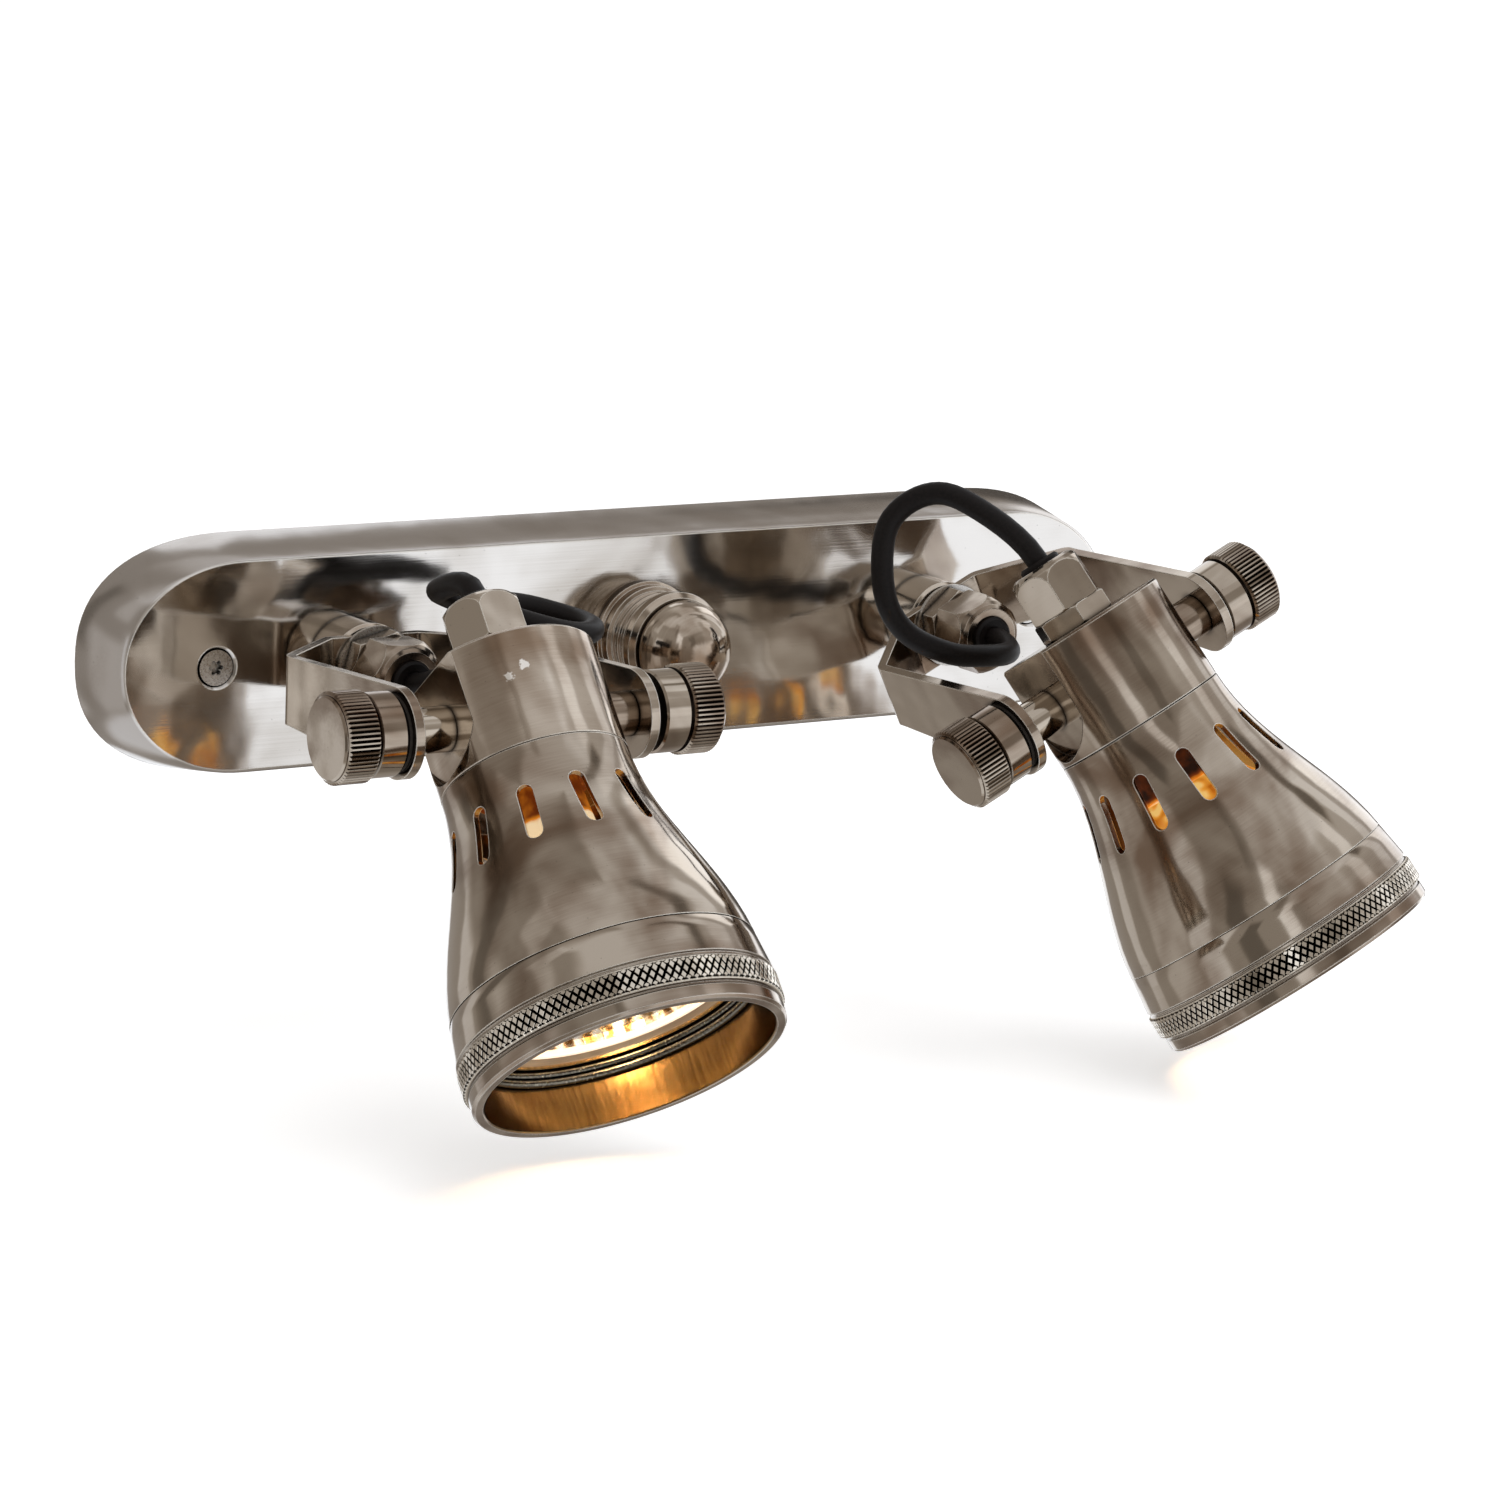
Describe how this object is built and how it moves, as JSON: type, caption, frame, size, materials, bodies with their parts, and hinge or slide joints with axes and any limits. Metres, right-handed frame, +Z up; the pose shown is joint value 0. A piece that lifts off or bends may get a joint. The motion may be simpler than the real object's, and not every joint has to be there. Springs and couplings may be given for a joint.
{
  "type": "wall spot light",
  "caption": "Wall light with a long flat back plate and two tilting, swivelling vented spot heads on yokes.",
  "frame": {"origin": "centre of the back plate's back, on the wall", "axes": "+X along the plate to the right as seen from the room, +Z up, -Y out into the room"},
  "size_m": [0.252, 0.1567, 0.1147],
  "materials": {
    "polished_plate": "polished",
    "polished_dome": "polished",
    "antique_nickel": "brushed",
    "raw_brass": "turned",
    "zinc_steel": "zinc plated",
    "spring_wire": "blackened",
    "black_rubber": "matte",
    "black_fibre": "matte",
    "ceramic": "glazed",
    "mirror_glass": "dichroic coating",
    "clear_glass": "clear"
  },
  "bodies": {
    "root": {"backplate": "polished_plate", "wall_bracket": "zinc_steel", "bracket_posts": "raw_brass", "plate_screws": "zinc_steel", "terminal_block": "ceramic", "terminal_screws": "raw_brass", "inner_leads": "black_rubber", "swivel_spacers": "antique_nickel", "finial_base": "antique_nickel", "finial_stud": "zinc_steel"},
    "finial_cap": {"finial": "polished_dome"},
    "left_yoke": {"yoke_l": "antique_nickel", "gland_washer_l": "zinc_steel", "yoke_gland_base_l": "antique_nickel", "yoke_gland_nut_l": "antique_nickel", "yoke_gland_seal_l": "black_rubber", "swivel_nipple_l": "raw_brass", "nipple_nut_l": "zinc_steel", "flex_l": "black_rubber", "knob_washers_l": "black_fibre"},
    "left_head": {"housing_l": "antique_nickel", "pivot_posts_l": "antique_nickel", "vent_bell_l": "antique_nickel", "lamp_reflector_l": "mirror_glass", "lamp_glass_l": "clear_glass", "lamp_foot_l": "ceramic", "lamp_holder_l": "ceramic", "holder_plate_l": "zinc_steel", "head_gland_base_l": "antique_nickel", "head_gland_nut_l": "antique_nickel", "head_gland_seal_l": "black_rubber"},
    "left_front_ring": {"front_ring_l": "antique_nickel", "snap_rings_l": "spring_wire"},
    "left_outer_knob": {"outer_thumb_screw_l": "antique_nickel"},
    "left_inner_knob": {"inner_thumb_screw_l": "antique_nickel"},
    "right_yoke": {"yoke_r": "antique_nickel", "gland_washer_r": "zinc_steel", "yoke_gland_base_r": "antique_nickel", "yoke_gland_nut_r": "antique_nickel", "yoke_gland_seal_r": "black_rubber", "swivel_nipple_r": "raw_brass", "nipple_nut_r": "zinc_steel", "flex_r": "black_rubber", "knob_washers_r": "black_fibre"},
    "right_head": {"housing_r": "antique_nickel", "pivot_posts_r": "antique_nickel", "vent_bell_r": "antique_nickel", "lamp_reflector_r": "mirror_glass", "lamp_glass_r": "clear_glass", "lamp_foot_r": "ceramic", "lamp_holder_r": "ceramic", "holder_plate_r": "zinc_steel", "head_gland_base_r": "antique_nickel", "head_gland_nut_r": "antique_nickel", "head_gland_seal_r": "black_rubber"},
    "right_front_ring": {"front_ring_r": "antique_nickel", "snap_rings_r": "spring_wire"},
    "right_outer_knob": {"outer_thumb_screw_r": "antique_nickel"},
    "right_inner_knob": {"inner_thumb_screw_r": "antique_nickel"}
  },
  "joints": [
    {"name": "finial_unscrew", "type": "hinge", "parent": "root", "child": "finial_cap", "pos_m": [0, -0.0307, 0], "axis": [0, -1, 0], "continuous": true},
    {"name": "left_swivel", "type": "hinge", "parent": "root", "child": "left_yoke", "pos_m": [-0.07075, -0.0265, 0], "axis": [0, -1, 0], "range_deg": [-90, 30]},
    {"name": "left_tilt", "type": "hinge", "parent": "left_yoke", "child": "left_head", "pos_m": [-0.07075, -0.0865, 0], "axis": [1, 0, 0], "range_deg": [-70, 55], "deforming": ["flex_l"]},
    {"name": "left_ring_unscrew", "type": "hinge", "parent": "left_head", "child": "left_front_ring", "pos_m": [-0.07075, -0.0865, 0], "axis": [0, -0.6293, -0.7771], "continuous": true},
    {"name": "left_outer_knob", "type": "hinge", "parent": "left_head", "child": "left_outer_knob", "pos_m": [-0.07075, -0.0865, 0], "axis": [1, 0, 0], "continuous": true},
    {"name": "left_inner_knob", "type": "hinge", "parent": "left_head", "child": "left_inner_knob", "pos_m": [-0.07075, -0.0865, 0], "axis": [1, 0, 0], "continuous": true},
    {"name": "right_swivel", "type": "hinge", "parent": "root", "child": "right_yoke", "pos_m": [0.07075, -0.0265, 0], "axis": [0, -1, 0], "range_deg": [-56, 64]},
    {"name": "right_tilt", "type": "hinge", "parent": "right_yoke", "child": "right_head", "pos_m": [0.07075, -0.0865, 0], "axis": [0.8988, 0, 0.4384], "range_deg": [-80, 42], "deforming": ["flex_r"]},
    {"name": "right_ring_unscrew", "type": "hinge", "parent": "right_head", "child": "right_front_ring", "pos_m": [0.07075, -0.0865, 0], "axis": [0.3923, -0.4462, -0.8044], "continuous": true},
    {"name": "right_outer_knob", "type": "hinge", "parent": "right_head", "child": "right_outer_knob", "pos_m": [0.07075, -0.0865, 0], "axis": [0.8988, 0, 0.4384], "continuous": true},
    {"name": "right_inner_knob", "type": "hinge", "parent": "right_head", "child": "right_inner_knob", "pos_m": [0.07075, -0.0865, 0], "axis": [0.8988, 0, 0.4384], "continuous": true}
  ]
}
